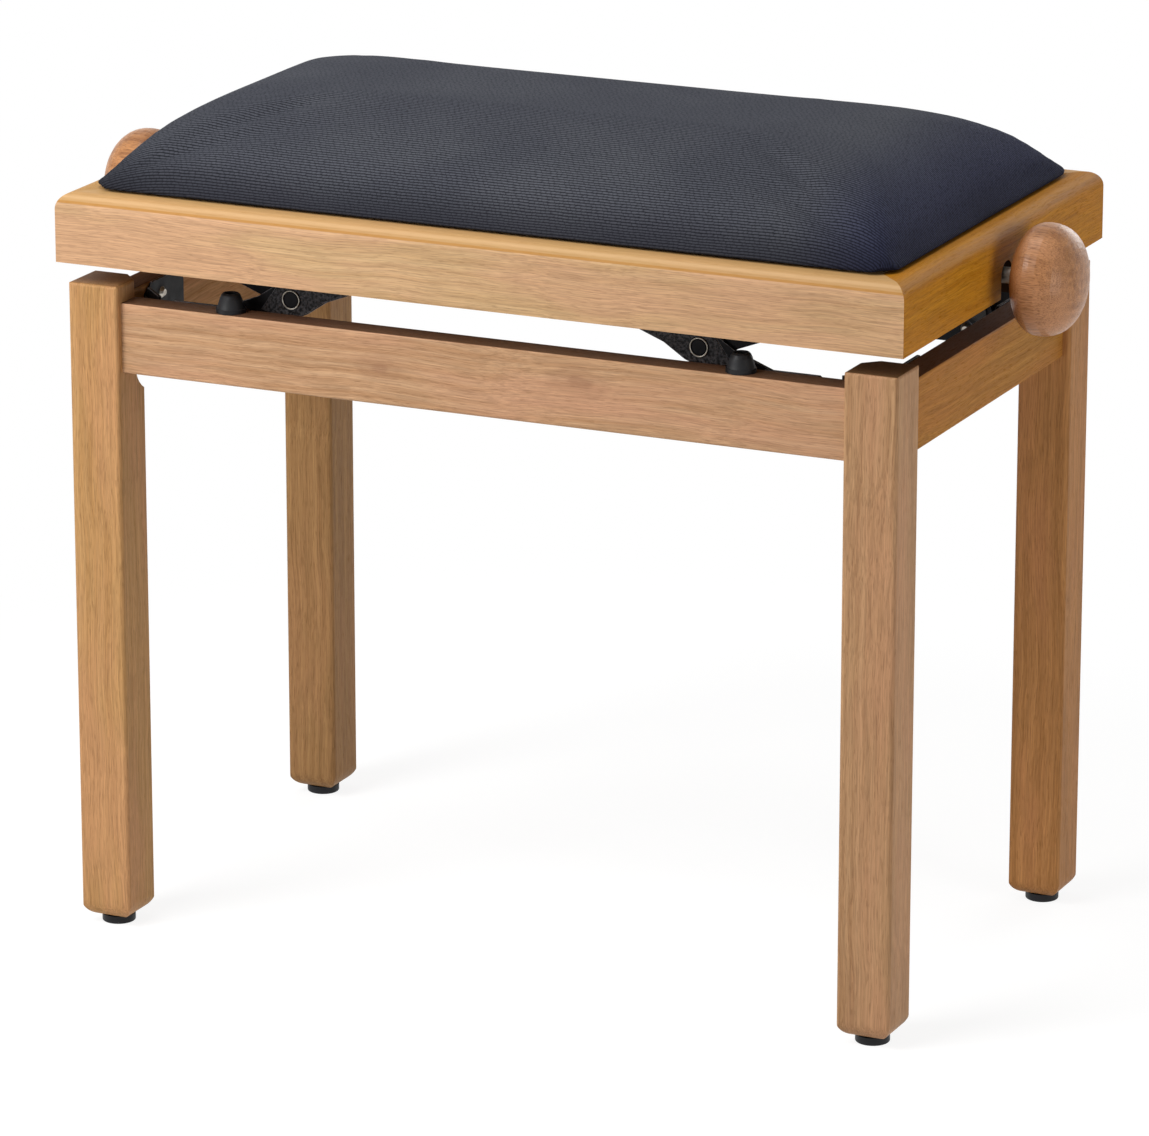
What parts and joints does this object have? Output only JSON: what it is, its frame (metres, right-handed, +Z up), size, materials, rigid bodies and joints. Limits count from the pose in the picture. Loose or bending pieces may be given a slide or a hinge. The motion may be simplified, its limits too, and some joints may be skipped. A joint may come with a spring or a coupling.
{
  "type": "adjustable piano bench",
  "caption": "Piano bench with a padded seat frame that a side-knob screw and scissor arms raise above a wooden underframe.",
  "frame": {"origin": "on the floor, in the middle of the four legs", "axes": "+X along the bench towards the right-hand knob, +Y towards the back, +Z up"},
  "size_m": [0.652, 0.326, 0.521],
  "materials": {
    "honey_wood": "satin lacquered hardwood",
    "knob_wood": "satin lacquered turned hardwood",
    "plywood": "raw board",
    "ribbed_fabric": "fine ribbed upholstery cloth",
    "black_steel": "semi-gloss black",
    "zinc_steel": "bright zinc",
    "black_rubber": "matt"
  },
  "bodies": {
    "underframe": {"leg_front_left": "honey_wood", "leg_front_right": "honey_wood", "leg_back_left": "honey_wood", "leg_back_right": "honey_wood", "base_rail_front": "honey_wood", "base_rail_back": "honey_wood", "base_rail_left": "honey_wood", "base_rail_right": "honey_wood", "corner_bracket_front_left": "black_steel", "corner_bracket_front_right": "black_steel", "corner_bracket_back_left": "black_steel", "corner_bracket_back_right": "black_steel", "base_bracket_left": "black_steel", "base_bracket_right": "black_steel", "foot_glides": "black_rubber", "hanger_bolts": "zinc_steel", "hanger_nuts": "zinc_steel", "base_screws": "zinc_steel", "bumpers": "black_rubber", "bumper_screws": "zinc_steel"},
    "seat": {"seat_rail_front": "honey_wood", "seat_rail_back": "honey_wood", "seat_rail_left": "honey_wood", "seat_rail_right": "honey_wood", "top_bracket_left": "black_steel", "rod_bearing_left": "black_steel", "top_bracket_right": "black_steel", "rod_bearing_right": "black_steel", "seat_board": "plywood", "cushion": "ribbed_fabric", "seat_screws": "zinc_steel"},
    "drive": {"drive_screw": "zinc_steel", "knob_left": "knob_wood", "knob_right": "knob_wood", "collar_left": "zinc_steel", "collar_right": "zinc_steel"},
    "nut_left": {"nut_bar_left": "black_steel"},
    "nut_right": {"nut_bar_right": "black_steel"},
    "long_arms_left": {"long_arm_left_front": "black_steel", "long_arm_left_back": "black_steel", "base_pivot_left": "zinc_steel", "mid_pivots_left": "black_steel"},
    "short_arms_left": {"short_arm_left_front": "black_steel", "short_arm_left_back": "black_steel", "top_pins_left": "zinc_steel"},
    "long_arms_right": {"long_arm_right_front": "black_steel", "long_arm_right_back": "black_steel", "base_pivot_right": "zinc_steel", "mid_pivots_right": "black_steel"},
    "short_arms_right": {"short_arm_right_front": "black_steel", "short_arm_right_back": "black_steel", "top_pins_right": "zinc_steel"}
  },
  "joints": [
    {"name": "seat_lift", "type": "slide", "parent": "underframe", "child": "seat", "axis": [0, 0, 1], "range_m": [-0.012, 0.07]},
    {"name": "screw_turn", "type": "hinge", "parent": "seat", "child": "drive", "pos_m": [0, 0, 0.44], "axis": [1, 0, 0], "range_deg": [-938, 5462]},
    {"name": "nut_travel_left", "type": "slide", "parent": "seat", "child": "nut_left", "axis": [-1, 0, 0], "range_m": [-0.0079, 0.0456]},
    {"name": "long_arm_swing_left", "type": "hinge", "parent": "underframe", "child": "long_arms_left", "pos_m": [-0.21117, 0, 0.381], "axis": [0, -1, 0], "range_deg": [-5.14, 29.5]},
    {"name": "short_arm_swing_left", "type": "hinge", "parent": "long_arms_left", "child": "short_arms_left", "pos_m": [-0.13466, 0, 0.4105], "axis": [0, -1, 0], "range_deg": [-59, 10.28]},
    {"name": "nut_travel_right", "type": "slide", "parent": "seat", "child": "nut_right", "axis": [1, 0, 0], "range_m": [-0.0079, 0.0456]},
    {"name": "long_arm_swing_right", "type": "hinge", "parent": "underframe", "child": "long_arms_right", "pos_m": [0.21117, 0, 0.381], "axis": [0, 1, 0], "range_deg": [-5.14, 29.5]},
    {"name": "short_arm_swing_right", "type": "hinge", "parent": "long_arms_right", "child": "short_arms_right", "pos_m": [0.13466, 0, 0.4105], "axis": [0, 1, 0], "range_deg": [-59, 10.28]}
  ],
  "couplings": [
    {"joint": "screw_turn", "follows": "seat_lift", "rad_per_m": 1361.4},
    {"joint": "nut_travel_left", "follows": "seat_lift", "ratio": 0.65},
    {"joint": "long_arm_swing_left", "follows": "seat_lift", "rad_per_m": 7.3304},
    {"joint": "short_arm_swing_left", "follows": "seat_lift", "rad_per_m": -14.661},
    {"joint": "nut_travel_right", "follows": "seat_lift", "ratio": 0.65},
    {"joint": "long_arm_swing_right", "follows": "seat_lift", "rad_per_m": 7.3304},
    {"joint": "short_arm_swing_right", "follows": "seat_lift", "rad_per_m": -14.661}
  ]
}
